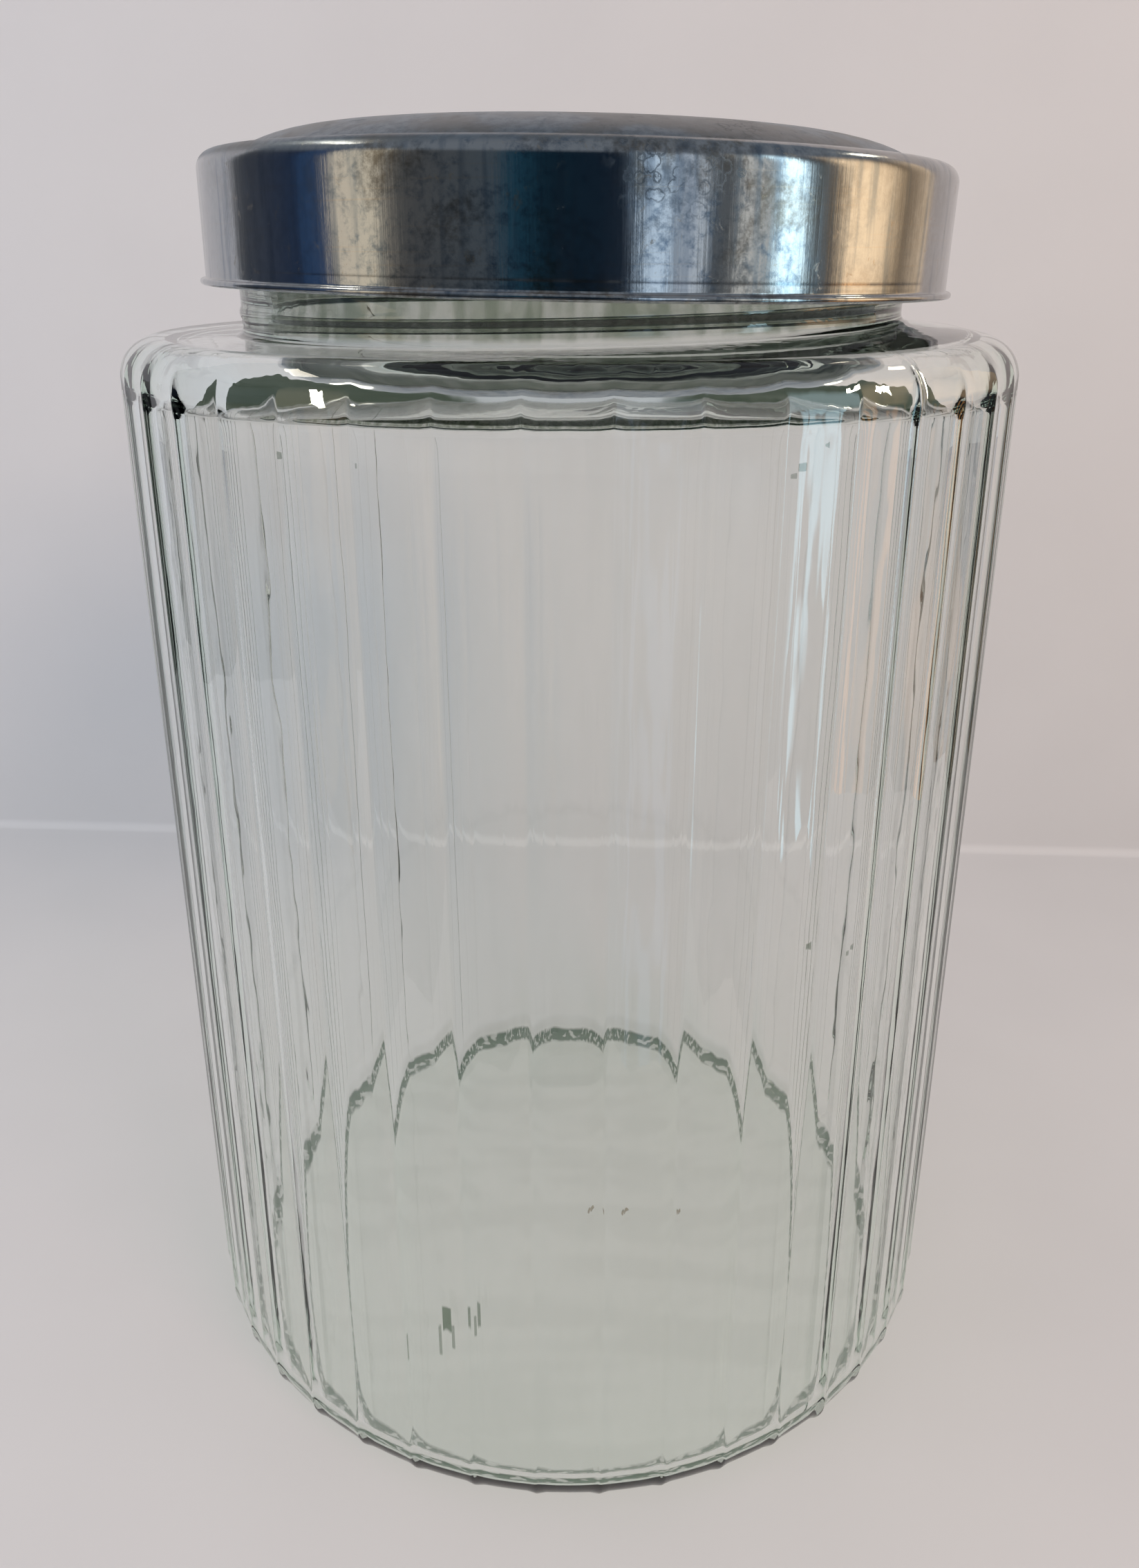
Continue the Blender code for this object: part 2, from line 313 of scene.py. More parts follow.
def makeRibTree():
    tree = bpy.data.node_groups.new("ribbedJar", "GeometryNodeTree")
    tree.interface.new_socket(name="Outline", in_out="INPUT", socket_type="NodeSocketGeometry")
    whole = ("Panels", "Steps per Panel", "Seam Rib")
    sizes = (
        "Panel Depth", "Panel Flat", "Rib Rounding", "First Rib", "Arch Top", "Arch Rise", "Arch Fade",
        "Foot Ramp", "Seam Height", "Seam Width", "Lean", "Unevenness", "Uneven Scale", "Uneven Level",
        "Closeness", "Seed",
    )
    for label in whole + sizes:
        # each starts with the value that the jar's dictionary has under the same words
        kind = "NodeSocketInt" if label in whole else "NodeSocketFloat"
        socket = tree.interface.new_socket(name=label, in_out="INPUT", socket_type=kind)
        words = label.title().replace(" ", "")
        socket.default_value = jar[words[0].lower() + words[1:]]
    tree.interface.new_socket(name="Material", in_out="INPUT", socket_type="NodeSocketMaterial")
    tree.interface.new_socket(name="Jar", in_out="OUTPUT", socket_type="NodeSocketGeometry")
    given = tree.nodes.new("NodeGroupInput").outputs
    result = tree.nodes.new("NodeGroupOutput").inputs

    size = tree.nodes.new("GeometryNodeAttributeDomainSize")
    feed(tree, size.inputs[0], given["Outline"])
    rows = size.outputs["Point Count"]
    columns = calc(tree, "ADD", calc(tree, "MULTIPLY", given["Panels"], given["Steps per Panel"]), 1.0)
    grid = tree.nodes.new("GeometryNodeMeshGrid")
    feed(tree, grid.inputs["Vertices X"], columns)
    feed(tree, grid.inputs["Vertices Y"], rows)

    index = tree.nodes.new("GeometryNodeInputIndex").outputs[0]
    row = calc(tree, "MODULO", index, rows)
    column = calc(tree, "FLOOR", calc(tree, "DIVIDE", calc(tree, "ADD", index, 0.5), rows))

    def sample(kind, value):
        node = tree.nodes.new("GeometryNodeSampleIndex")
        node.data_type = kind
        feed(tree, node.inputs["Geometry"], given["Outline"])
        feed(tree, node.inputs["Value"], value)
        feed(tree, node.inputs["Index"], row)
        return node.outputs[0]

    def named(label):
        node = tree.nodes.new("GeometryNodeInputNamedAttribute")
        node.data_type = "FLOAT"
        node.inputs["Name"].default_value = label
        return sample("FLOAT", node.outputs[0])

    outline = tree.nodes.new("ShaderNodeSeparateXYZ")
    where = tree.nodes.new("GeometryNodeInputPosition").outputs[0]
    feed(tree, outline.inputs[0], sample("FLOAT_VECTOR", where))
    radius, height = outline.outputs[0], outline.outputs[2]

    # place across the panel, closer together at the ribs
    steps = given["Steps per Panel"]
    panel = calc(tree, "FLOOR", calc(tree, "DIVIDE", calc(tree, "ADD", column, 0.5), steps))
    part = calc(tree, "DIVIDE", calc(tree, "SUBTRACT", column, calc(tree, "MULTIPLY", panel, steps)), steps)
    wave = calc(tree, "COSINE", calc(tree, "MULTIPLY", part, math.pi))
    slot = calc(tree, "SUBTRACT", 0.5, calc(tree, "MULTIPLY", wave, 0.5))
    along = calc(tree, "ADD", panel, slot)
    angle = calc(tree, "DIVIDE", calc(tree, "MULTIPLY", along, 2 * math.pi), given["Panels"])
    angle = calc(tree, "ADD", angle, calc(tree, "RADIANS", given["First Rib"]))

    nearest = calc(tree, "ROUND", along)
    off = calc(tree, "ABSOLUTE", calc(tree, "SUBTRACT", along, nearest))
    rounding = given["Rib Rounding"]
    softOff = calc(tree, "SUBTRACT", longSide(tree, off, rounding), rounding)
    across = calc(tree, "SUBTRACT", 1.0, calc(tree, "MULTIPLY", softOff, 2.0))
    shape = calc(tree, "SUBTRACT", 1.0, calc(tree, "POWER", across, given["Panel Flat"]))

    bow = calc(tree, "SUBTRACT", 1.0, calc(tree, "POWER", calc(tree, "MULTIPLY", across, 0.98), 2.0))
    archEnd = calc(tree, "MULTIPLY", given["Arch Rise"], calc(tree, "SUBTRACT", 1.0, calc(tree, "SQRT", bow)))
    archEnd = calc(tree, "SUBTRACT", given["Arch Top"], archEnd)
    upper = calc(tree, "DIVIDE", calc(tree, "SUBTRACT", archEnd, height), given["Arch Fade"], clamp=True)
    upper = remap(tree, upper, 0.0, 1.0)
    lower = calc(tree, "DIVIDE", height, given["Foot Ramp"], clamp=True)
    recess = product(tree, given["Panel Depth"], shape, upper, lower)

    # the joint of the mould, a fine raised line on two ribs
    halfTurn = calc(tree, "DIVIDE", given["Panels"], 2.0)
    apart = calc(tree, "SUBTRACT", calc(tree, "MODULO", nearest, halfTurn), given["Seam Rib"])
    onSeam = calc(tree, "LESS_THAN", calc(tree, "ABSOLUTE", apart), 0.5)
    ridge = remap(tree, off, given["Seam Width"], 0.0)
    seam = product(tree, calc(tree, "MULTIPLY", ridge, onSeam), given["Seam Height"], lower)

    sine, cosine = calc(tree, "SINE", angle), calc(tree, "COSINE", angle)
    spot = tree.nodes.new("ShaderNodeCombineXYZ")
    feed(tree, spot.inputs[0], calc(tree, "MULTIPLY", radius, sine))
    feed(tree, spot.inputs[1], calc(tree, "MULTIPLY", radius, cosine))
    feed(tree, spot.inputs[2], calc(tree, "MULTIPLY", height, given["Uneven Level"]))
    bumps = tree.nodes.new("ShaderNodeTexNoise")
    bumps.noise_dimensions = "4D"
    feed(tree, bumps.inputs["Vector"], spot.outputs[0])
    feed(tree, bumps.inputs["W"], given["Seed"])
    feed(tree, bumps.inputs["Scale"], given["Uneven Scale"])
    feed(tree, bumps.inputs["Detail"], 1.0)
    wander = calc(tree, "MULTIPLY", calc(tree, "SUBTRACT", bumps.outputs["Fac"], 0.5), given["Unevenness"])
    wander = calc(tree, "MULTIPLY", wander, named("uneven"))

    reach = calc(tree, "MULTIPLY", calc(tree, "SUBTRACT", seam, recess), named("ribbed"))
    reach = calc(tree, "ADD", calc(tree, "ADD", radius, reach), wander)
    spread = calc(tree, "GREATER_THAN", radius, 0.00001)
    reach = calc(tree, "MULTIPLY", reach, spread)
    point = tree.nodes.new("ShaderNodeCombineXYZ")
    feed(tree, point.inputs[0], calc(tree, "ADD", calc(tree, "MULTIPLY", reach, sine), named("shift")))
    feed(tree, point.inputs[1], calc(tree, "MULTIPLY", calc(tree, "MULTIPLY", reach, cosine), -1.0))
    tip = calc(tree, "MULTIPLY", calc(tree, "MULTIPLY", given["Lean"], sine), named("lean"))
    feed(tree, point.inputs[2], calc(tree, "ADD", height, tip))

    setPlace = tree.nodes.new("GeometryNodeSetPosition")
    feed(tree, setPlace.inputs["Geometry"], grid.outputs["Mesh"])
    feed(tree, setPlace.inputs["Position"], point.outputs[0])
    merge = tree.nodes.new("GeometryNodeMergeByDistance")
    feed(tree, merge.inputs["Geometry"], setPlace.outputs[0])
    feed(tree, merge.inputs["Distance"], given["Closeness"])
    realize = tree.nodes.new("GeometryNodeRealizeInstances")
    feed(tree, realize.inputs[0], merge.outputs[0])
    paint = tree.nodes.new("GeometryNodeSetMaterial")
    feed(tree, paint.inputs["Geometry"], realize.outputs[0])
    feed(tree, paint.inputs["Material"], given["Material"])
    feed(tree, result["Jar"], paint.outputs[0])
    return tree


def setInputs(modifier, values):
    for socket in modifier.node_group.interface.items_tree:
        if socket.item_type == "SOCKET" and socket.in_out == "INPUT" and socket.name in values:
            modifier[socket.identifier] = values[socket.name]


def makeJarBody(material):
    rows = jarOutline()
    outline = bpy.data.meshes.new("jarOutline")
    outline.from_pydata([(row[0], 0, row[1]) for row in rows], [(k, k + 1) for k in range(len(rows) - 1)], [])
    for column, label in ((2, "ribbed"), (3, "lean"), (4, "shift"), (5, "uneven")):
        values = outline.attributes.new(label, "FLOAT", "POINT").data
        values.foreach_set("value", [float(row[column]) for row in rows])
    base = linkMesh("jarOutline", outline)
    modifier = base.modifiers.new("ribs", "NODES")
    modifier.node_group = makeRibTree()
    setInputs(modifier, {"Material": material})
    bpy.context.view_layer.update()
    evaluated = base.evaluated_get(bpy.context.evaluated_depsgraph_get())
    mesh = bpy.data.meshes.new_from_object(evaluated)
    bpy.data.objects.remove(base)
    shell = bmesh.new()
    shell.from_mesh(mesh)
    bmesh.ops.recalc_face_normals(shell, faces=shell.faces[:])
    if shell.calc_volume(signed=True) < 0:
        bmesh.ops.reverse_faces(shell, faces=shell.faces[:])
    openEdges = sum(1 for edge in shell.edges if len(edge.link_faces) != 2)
    volume = shell.calc_volume() * 1e6
    shell.to_mesh(mesh)
    shell.free()
    mesh.shade_smooth()
    mesh.name = "jarGlass"
    item = linkMesh("jarGlass", mesh)
    triangles = sum(len(face.vertices) - 2 for face in mesh.polygons)
    print("jar body:", triangles, "triangles,", round(volume, 1), "cm3, open edges", openEdges)
    return item


# clear glass with a green cast in its depth, wavy skin, a few marks

glassLook = {
    "clear": (0.996, 1.0, 0.998, 1.0),
    "drawn": (0.982, 0.990, 0.986, 1.0),    # in the ripples
    "tintDepth": (0.66, 0.84, 0.72, 1.0),
    "tintDensity": 16.0,
    "bending": 1.51,
    "passing": (0.975, 0.98, 0.972, 1.0),
    "rippleScale": 300.0,
    "rippleLong": (1.0, 1.0, 0.22),
    "skinDepth": 0.000026,    # metres, drawn out ripples
    "dust": 0.03,
    "markTint": (0.10, 0.15, 0.10, 1.0),
    "markRadius": 0.0965,
    "markSkin": (0.0915, 0.0925),     # distance from the middle, so on the outside only
    # painted shade in the neck from the lid, along with its murky glass
    "neckMurkAndShade": (0.30, 0.34, 0.28, 1.0),
    "neckFrom": (0.2490, 0.2502),
    "neckTo": (0.2725, 0.2700),
    "neckSkin": (0.0722, 0.0712),
    # painted shade, a dark green edge round the foot
    "paintedFootShade": (0.05, 0.09, 0.06, 1.0),
    "footTop": (0.0034, 0.0022),
    "footSkin": (0.0850, 0.0870),
    # painted light and shade, bands of light let through the glass onto the floor inside
    "paintedFloorLight": (0.87, 0.88, 0.87, 1.0),   # in soft bands on the floor inside
    "floorBands": (12.0, 80.0, 1.0),
    "floorTop": (0.0090, 0.0060),
    "floorFrom": (0.0030, 0.0045),
    "crumbTint": (0.22, 0.17, 0.11, 1.0),
    "crumbPlace": (0.0135, -0.003),   # a few brown specks on the floor inside
    "crumbSize": (0.0048, 0.0012),
}

# small dark marks in two fields; a row is angle from the front, height, half width, half height, strength
markFields = (
    {"first": -31.0, "last": -11.0, "low": 0.04, "top": 0.24, "tall": 0.005, "rows": (
        (-30.2, 0.2330, 0.0005, 0.0006, 0.8),
        (-21.2, 0.0448, 0.0003, 0.0040, 0.8),
        (-21.0, 0.2323, 0.0003, 0.0005, 0.7),
        (-16.7, 0.0490, 0.0003, 0.0040, 0.8),
        (-15.7, 0.0560, 0.0010, 0.0036, 1.0),
        (-14.9, 0.0512, 0.0003, 0.0030, 0.8),
        (-12.6, 0.0585, 0.0003, 0.0036, 0.9),
        (-11.9, 0.0560, 0.0003, 0.0026, 0.8),
        (-11.4, 0.0590, 0.0003, 0.0040, 0.9),
    )},
    {"first": 22.0, "last": 36.5, "low": 0.13, "top": 0.24, "tall": 0.003, "rows": (
        (22.4, 0.2305, 0.0007, 0.0004, 0.7),
        (23.4, 0.2318, 0.0008, 0.0005, 0.8),
        (26.2, 0.2350, 0.0004, 0.0007, 0.8),
        (28.6, 0.1415, 0.0006, 0.0014, 0.9),
        (35.0, 0.1365, 0.0004, 0.0012, 0.8),
        (35.7, 0.1375, 0.0004, 0.0008, 0.8),
    )},
)


def markRow(tree, turned, field):
    # the marks of a field laid out along a colour ramp
    first, last = field["first"], field["last"]
    share = remap(tree, turned, math.radians(first), math.radians(last), smooth=False)
    ramp = tree.nodes.new("ShaderNodeValToRGB")
    ramp.color_ramp.interpolation = "CONSTANT"
    feed(tree, ramp.inputs[0], share)
    stops = ramp.color_ramp.elements
    stops.remove(stops[-1])
    stops[0].position, stops[0].color = 0.0, (0, 0.5, 0.5, 1)
    for angle, height, wide, up, strength in sorted(field["rows"]):
        half = math.degrees(wide / glassLook["markRadius"])
        at = [(edge - first) / (last - first) for edge in (angle - half, angle + half)]
        level = (height - field["low"]) / (field["top"] - field["low"])
        stops.new(at[0]).color = (strength, level, up / field["tall"], 1)
        stops.new(at[1]).color = (0, 0.5, 0.5, 1)
    return ramp.outputs[0]


def makeGlass():
    material, tree, shader = newMaterial("greenishGlass")
    spot = tree.nodes.new("ShaderNodeTexCoord").outputs["Object"]
    look = glassLook
    ripple = noiseNode(tree, stretched(tree, spot, look["rippleLong"]), look["rippleScale"], 1.0, 0.5)

    drawn = remap(tree, ripple, 0.42, 0.72)
    colour = mixColour(tree, drawn, look["clear"], look["drawn"])
    parts = tree.nodes.new("ShaderNodeSeparateXYZ")
    feed(tree, parts.inputs[0], spot)
    x, y, high = parts.outputs
    away = longSide(tree, x, y)
    turned = calc(tree, "ARCTAN2", x, calc(tree, "MULTIPLY", y, -1.0))
    rough = calc(tree, "SUBTRACT", ripple, 0.5)
    marked = 0.0
    for field in markFields:
        strokes = place(tree, strokeGroup, Row=markRow(tree, turned, field), Height=high, Rough=rough,
                        Low=field["low"], High=field["top"], Tall=field["tall"])
        marked = calc(tree, "MAXIMUM", marked, strokes.outputs[0])
    marked = product(tree, marked, remap(tree, away, *look["markSkin"]))
    colour = mixColour(tree, marked, colour, look["markTint"])

    # murky glass in the neck darkened with painted shade from the lid, and a painted shade edge, dark green,
    # round the foot
    level = calc(tree, "SUBTRACT", high, calc(tree, "MULTIPLY", x, jar["lean"] / jar["neck"]))
    neck = product(tree, remap(tree, level, *look["neckFrom"]), remap(tree, high, *look["neckTo"]))
    neck = product(tree, neck, remap(tree, away, *look["neckSkin"]))
    murk = remap(tree, ripple, 0.38, 0.60, 0.60, 1.0)
    # painted shade: the neck is darkened for the dark under the lid as well as for its murky glass
    colour = mixColour(tree, product(tree, neck, murk), colour, look["neckMurkAndShade"])
    # painted shade: a dark green edge low round the foot, for the contact shadow and the long path through
    # the base
    foot = product(tree, remap(tree, high, *look["footTop"]), remap(tree, away, *look["footSkin"]))
    foot = product(tree, foot, remap(tree, ripple, 0.36, 0.50, 0.35, 1.0))
    colour = mixColour(tree, foot, colour, look["paintedFootShade"])

    # painted light and shade: faint bands on the floor inside for the light let through the glass, and the
    # brown specks there
    inside = product(tree, remap(tree, high, *look["floorTop"]), remap(tree, high, *look["floorFrom"]))
    bands = remap(tree, noiseNode(tree, stretched(tree, spot, look["floorBands"]), 1.0, 1.0), 0.40, 0.60)
    colour = mixColour(tree, product(tree, inside, bands, 0.75), colour, look["paintedFloorLight"])
    crumb = calc(tree, "MULTIPLY", rough, 9.0)
    for along, middle, size in zip((x, y), look["crumbPlace"], look["crumbSize"]):
        off = calc(tree, "DIVIDE", calc(tree, "SUBTRACT", along, middle), size)
        crumb = calc(tree, "ADD", crumb, calc(tree, "MULTIPLY", off, off))
    crumb = product(tree, remap(tree, crumb, 0.7, 0.3), inside)
    colour = mixColour(tree, crumb, colour, look["crumbTint"])
    feed(tree, shader.inputs["Base Color"], colour)
    feed(tree, shader.inputs["Roughness"], remap(tree, drawn, 0.85, 1.0, 0.0, look["dust"]))
    shader.inputs["Metallic"].default_value = 0.0
    shader.inputs["Transmission Weight"].default_value = 1.0
    shader.inputs["IOR"].default_value = look["bending"]

    bump = tree.nodes.new("ShaderNodeBump")
    bump.inputs["Strength"].default_value = 1.0
    bump.inputs["Distance"].default_value = 1.0
    feed(tree, bump.inputs["Height"], calc(tree, "MULTIPLY", ripple, look["skinDepth"]))
    feed(tree, shader.inputs["Normal"], bump.outputs[0])

    # light passes straight through to what stands behind, a little weakened
    passing = tree.nodes.new("ShaderNodeBsdfTransparent")
    passing.inputs["Color"].default_value = look["passing"]
    mix = tree.nodes.new("ShaderNodeMixShader")
    path = tree.nodes.new("ShaderNodeLightPath").outputs
    feed(tree, mix.inputs[0], calc(tree, "MAXIMUM", path["Is Shadow Ray"], path["Is Diffuse Ray"]))
    tree.links.new(shader.outputs[0], mix.inputs[1])
    tree.links.new(passing.outputs[0], mix.inputs[2])
    tree.links.new(mix.outputs[0], tree.nodes["Material Output"].inputs["Surface"])

    depth = tree.nodes.new("ShaderNodeVolumeAbsorption")
    depth.inputs["Color"].default_value = look["tintDepth"]
    depth.inputs["Density"].default_value = look["tintDensity"]
    tree.links.new(depth.outputs[0], tree.nodes["Material Output"].inputs["Volume"])
    return material


jarGlass = makeJarBody(makeGlass())
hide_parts("jar")
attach(jarGlass, "root")


# pressed sheet lid with a rolled lower edge and a low dented dome

lid = {
    "place": (0.00135, 0.0, 0.2562),
    "tilt": 1.04,             # degrees, right side low
    "sides": 240,
    "sheet": 0.0006,
    "skirt": 0.0773,
    "bead": 0.0784,
    "beadHeight": 0.0013,
    "height": 0.0242,
    "corner": 0.0034,
    "dome": 0.0695,
    "domeHeight": 0.0056,
    "domePower": 7.5,
    "bulge": ((0.020, 0.004), (0.026, 0.030), 0.0012),    # middle, size, height
    "dent": ((0.006, -0.012), (0.026, 0.020), -0.0022),
    "rollLine": 0.0028,       # faint groove over the bead
    "rollDepth": 0.00003,
    "wobble": 0.00012,
}


def domeRise(x, y):
    part = min(1.0, math.hypot(x, y) / lid["dome"])
    rise = lid["domeHeight"] * (1 - part ** lid["domePower"])
    for (midX, midY), (sizeX, sizeY), height in (lid["bulge"], lid["dent"]):
        rise += height * math.exp(-((x - midX) / sizeX) ** 2 - ((y - midY) / sizeY) ** 2)
    return rise


def makeLid(material):
    inner, under = lid["skirt"] - lid["sheet"], lid["height"] - lid["sheet"]
    curl = lid["beadHeight"] / 2
    outside = [(inner, 0.0)] + arc(lid["bead"] - curl, curl, curl, -90, 75, 9)
    outside.append((lid["skirt"], lid["beadHeight"] + 0.0001))
    skirtTop = lid["height"] - lid["corner"]
    groove = lid["rollLine"]
    low = 0.0045
    skirtRows = [0.0018, 0.0022, groove - 0.0003, groove, groove + 0.0003, 0.0036, low]
    skirtRows += [low + (skirtTop - low) * k / 14 for k in range(1, 14)]
    for height in skirtRows:
        outside.append((lid["skirt"] - (lid["rollDepth"] if height == groove else 0.0), height))
    outside += arc(lid["skirt"] - lid["corner"], skirtTop, lid["corner"], 0, 90, 10)
    small = lid["corner"] - lid["sheet"]
    lining = arc(inner - small, under - small, small, 90, 0, 5)
    lining += [(inner, under * k / 6) for k in (4, 3, 2, 1)]
    domeRadii = [lid["dome"] * k for k in (1.0, 0.985, 0.97, 0.955, 0.935, 0.91, 0.88, 0.84)]
    domeRadii += [lid["dome"] * 0.84 * k / 22 for k in range(21, 0, -1)]

    shell = bmesh.new()
    linedLayer = shell.verts.layers.float.new("lined")

    def ring(radius, height, domed):
        row = []
        for side in range(lid["sides"]):
            angle = 2 * math.pi * side / lid["sides"]
            x, y = radius * math.sin(angle), -radius * math.cos(angle)
            uneven = noise.noise(Vector((x * 38, y * 38, height * 55 + 7))) * lid["wobble"]
            reach = 1 + uneven / radius
            row.append(shell.verts.new((x * reach, y * reach, height + (domeRise(x, y) if domed else 0))))
        return row

    def join(rows):
        for low, high in zip(rows, rows[1:]):
            for k in range(len(low)):
                after = (k + 1) % len(low)
                shell.faces.new((low[k], low[after], high[after], high[k]))

    def cap(row, height, turned):
        middle = shell.verts.new((0, 0, height + domeRise(0, 0)))
        for k in range(len(row)):
            pair = (row[k], row[(k + 1) % len(row)])
            shell.faces.new((*(pair[::-1] if turned else pair), middle))

    outerRows = [ring(radius, height, False) for radius, height in outside]
    outerRows += [ring(radius, lid["height"], True) for radius in domeRadii]
    join(outerRows)
    cap(outerRows[-1], lid["height"], False)
    liningRows = [ring(radius, under, True) for radius in reversed(domeRadii)]
    liningRows += [ring(radius, height, False) for radius, height in lining] + [outerRows[0]]
    join(liningRows)
    cap(liningRows[0], under, True)
    shell.verts.ensure_lookup_table()
    linedPoints = [shell.verts[-1]] + [point for row in liningRows[:-1] for point in row]
    for point in linedPoints:
        point[linedLayer] = 1.0
    bmesh.ops.recalc_face_normals(shell, faces=shell.faces[:])
    if shell.calc_volume(signed=True) < 0:
        bmesh.ops.reverse_faces(shell, faces=shell.faces[:])
    seat = Matrix.Translation(lid["place"]) @ Matrix.Rotation(math.radians(lid["tilt"]), 4, "Y")
    bmesh.ops.transform(shell, matrix=seat, verts=shell.verts[:])
    openEdges = sum(1 for edge in shell.edges if len(edge.link_faces) != 2)
    mesh = bpy.data.meshes.new("pressedLid")
    shell.to_mesh(mesh)
    shell.free()
    mesh.shade_smooth()
    mesh.materials.append(material)
    item = linkMesh("pressedLid", mesh)
    print("lid:", sum(len(face.vertices) - 2 for face in mesh.polygons), "triangles, open edges", openEdges)
    return item


# worn tinned sheet: grey metal gone blue in patches, brushed, spotted by water

metalLook = {
    "bare": (0.40, 0.41, 0.42, 1.0),
    "blue": (0.10, 0.145, 0.20, 1.0),
    "brown": (0.17, 0.155, 0.135, 1.0),
    "tan": (0.40, 0.33, 0.25, 1.0),
    "ringTint": (0.09, 0.11, 0.13, 1.0),
    "dome": (0.15, 0.18, 0.21, 1.0),
    "domeLight": (0.24, 0.28, 0.32, 1.0),
    "lining": (0.86, 0.86, 0.84, 1.0),
    "rough": 0.11,
    "domeRough": 0.33,
    "liningRough": 0.6,
    "cloudScale": 60.0,
    "fineScale": 480.0,
    "fleckScale": 300.0,
    "ringScale": 430.0,
    "patchScale": 75.0,
    "scratches": (22.0, 22.0, 2600.0),
    "mottled": (-0.060, -0.072),      # mottling grows towards the front
    "wetFrom": (0.002, 0.010),        # the rings' place, left to right
    "wetTo": (0.036, 0.026),
    "wetUp": (0.2660, 0.2765),
    "domeFrom": (0.2790, 0.2806),
    "brushDepth": 0.000005,           # metres
    "fineDepth": 0.000010,
    "smearDepth": 0.000020,
}


def makeMetal():
    material, tree, shader = newMaterial("wornTinnedSheet")
    look = metalLook
    spot = tree.nodes.new("ShaderNodeTexCoord").outputs["Object"]
    parts = tree.nodes.new("ShaderNodeSeparateXYZ")
    feed(tree, parts.inputs[0], spot)
    x, y, high = parts.outputs

    # fine mottling, strongest across the front
    cloud = noiseNode(tree, spot, look["cloudScale"], 3.0, 0.5, 0.4)
    fine = noiseNode(tree, spot, look["fineScale"], 5.0, 0.70, 0.15)
    patina = calc(tree, "ADD", calc(tree, "MULTIPLY", cloud, 0.45), calc(tree, "MULTIPLY", fine, 0.55))
    patina = remap(tree, patina, 0.43, 0.62)
    patina = product(tree, patina, remap(tree, y, *look["mottled"], 0.25, 0.95))
    stain = mixColour(tree, remap(tree, cloud, 0.42, 0.60), look["blue"], look["brown"])
    colour = mixColour(tree, patina, look["bare"], stain)

    # dull upright smears, thin level scratches, brown flecks
    smear = place(tree, streakGroup, Vector=spot, Across=420.0, Along=30.0, From=0.50, To=0.72, Detail=3.0)
    colour = mixColour(tree, product(tree, smear.outputs["Mask"], 0.45), colour, look["blue"])
    scratch = noiseNode(tree, stretched(tree, spot, look["scratches"]), 1.0, 3.0, 0.6)
    scratch = remap(tree, scratch, 0.60, 0.70)
    colour = mixColour(tree, product(tree, scratch, 0.22), colour, look["tan"])
    fleck = remap(tree, noiseNode(tree, spot, look["fleckScale"], 5.0, 0.75, 0.5), 0.60, 0.68)
    colour = mixColour(tree, product(tree, fleck, 0.40), colour, look["tan"])

    # dried water rings, mostly near the top of the side and a little right of the middle
    cells = tree.nodes.new("ShaderNodeTexVoronoi")
    feed(tree, cells.inputs["Vector"], spot)
    cells.inputs["Scale"].default_value = look["ringScale"]
    waver = product(tree, calc(tree, "SUBTRACT", fine, 0.5), 0.9)
    ring = calc(tree, "SUBTRACT", calc(tree, "ADD", cells.outputs["Distance"], waver), 0.42)
    ring = remap(tree, calc(tree, "ABSOLUTE", ring), 0.09, 0.02)
    wet = product(tree, remap(tree, x, *look["wetFrom"]), remap(tree, x, *look["wetTo"]))
    wet = product(tree, wet, remap(tree, high, *look["wetUp"], 0.25, 1.0))
    patches = remap(tree, noiseNode(tree, spot, look["patchScale"], 2.0), 0.47, 0.58)
    ring = product(tree, ring, wet, patches)
    colour = mixColour(tree, product(tree, ring, 0.55), colour, look["ringTint"])

    # the dome is duller and darker
    onTop = remap(tree, high, *look["domeFrom"])
    satin = mixColour(tree, remap(tree, fine, 0.35, 0.65), look["dome"], look["domeLight"])
    satin = mixColour(tree, remap(tree, cloud, 0.44, 0.62, 0.0, 0.6), satin, look["brown"])
    colour = mixColour(tree, onTop, colour, satin)

    # the lining has kept its pale dull tin
    lined = tree.nodes.new("ShaderNodeAttribute")
    lined.attribute_name = "lined"
    lining = remap(tree, lined.outputs["Fac"], 0.5, 1.0)
    colour = mixColour(tree, lining, colour, look["lining"])
    feed(tree, shader.inputs["Base Color"], colour)
    shader.inputs["Metallic"].default_value = 1.0

    rough = remap(tree, onTop, 0.0, 1.0, look["rough"], look["domeRough"])
    for mask, amount in ((patina, 0.07), (fleck, 0.12), (ring, 0.15), (smear.outputs["Mask"], 0.06)):
        rough = calc(tree, "ADD", rough, calc(tree, "MULTIPLY", mask, amount))
    rough = calc(tree, "MAXIMUM", rough, product(tree, lining, look["liningRough"]))
    feed(tree, shader.inputs["Roughness"], rough)

    brushed = place(tree, streakGroup, Vector=spot, Across=3000.0, Along=70.0, From=0.4, To=0.75, Detail=2.0)
    bump = tree.nodes.new("ShaderNodeBump")
    bump.inputs["Distance"].default_value = 1.0
    height = calc(tree, "MULTIPLY", brushed.outputs["Height"], look["brushDepth"])
    for value, depth in ((fine, look["fineDepth"]), (smear.outputs["Height"], look["smearDepth"])):
        height = calc(tree, "ADD", height, calc(tree, "MULTIPLY", value, depth))
    feed(tree, bump.inputs["Height"], height)
    feed(tree, shader.inputs["Normal"], bump.outputs[0])
    return material


pressedLid = makeLid(makeMetal())
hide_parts("lid")
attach(pressedLid, "root")


# pale sheet under the jar, folded up behind it, and a wide floor round both

studio = {
    "left": -0.68,
    "right": 0.47,
    "front": -0.26,
    "fold": 0.2545,       # metres behind the middle of the jar
    "turn": -3.4,         # degrees, the fold runs a little askew
    "bend": 0.004,
    "high": 0.62,
    "pale": (0.80, 0.80, 0.81, 1.0),
    "shade": 0.97,        # share of the pale colour in its soft patches
    "rough": 0.8,
    "floorRadius": 2.6,
    "floorDrop": 0.0006,
}


